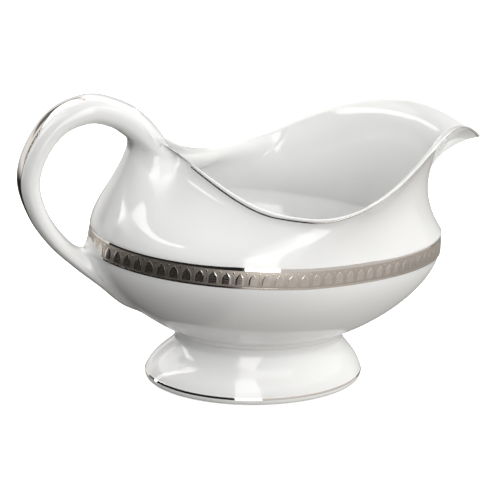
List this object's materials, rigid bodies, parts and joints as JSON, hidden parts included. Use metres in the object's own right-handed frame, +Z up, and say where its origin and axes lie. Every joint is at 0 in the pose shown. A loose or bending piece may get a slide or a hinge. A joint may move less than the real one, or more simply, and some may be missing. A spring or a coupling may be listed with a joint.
{
  "type": "sauce boat",
  "caption": "Footed porcelain sauce boat with a sweeping rim, pouring lip, high loop handle and fired platinum bands.",
  "frame": {"origin": "bottom centre of the object's box, on the surface it stands on", "axes": "+X runs along the bowl to the spout's tip, +Y across the bowl, +Z up from the foot"},
  "size_m": [0.2201, 0.1164, 0.139],
  "materials": {
    "porcelain_bowl": "clear high gloss glaze over white porcelain",
    "porcelain_foot": "clear high gloss glaze, dry ground ring underneath",
    "porcelain_handle": "clear high gloss glaze over white porcelain",
    "platinum_frieze": "etched matte platinum with polished leaf arches and beads",
    "platinum_polished": "burnished fired platinum"
  },
  "bodies": {
    "root": {"bowl": "porcelain_bowl", "foot": "porcelain_foot", "handle": "porcelain_handle", "frieze_band": "platinum_frieze", "band_upper_line": "platinum_polished", "band_lower_line": "platinum_polished", "rim_line": "platinum_polished", "handle_stripe": "platinum_polished", "foot_line": "platinum_polished"}
  },
  "joints": []
}
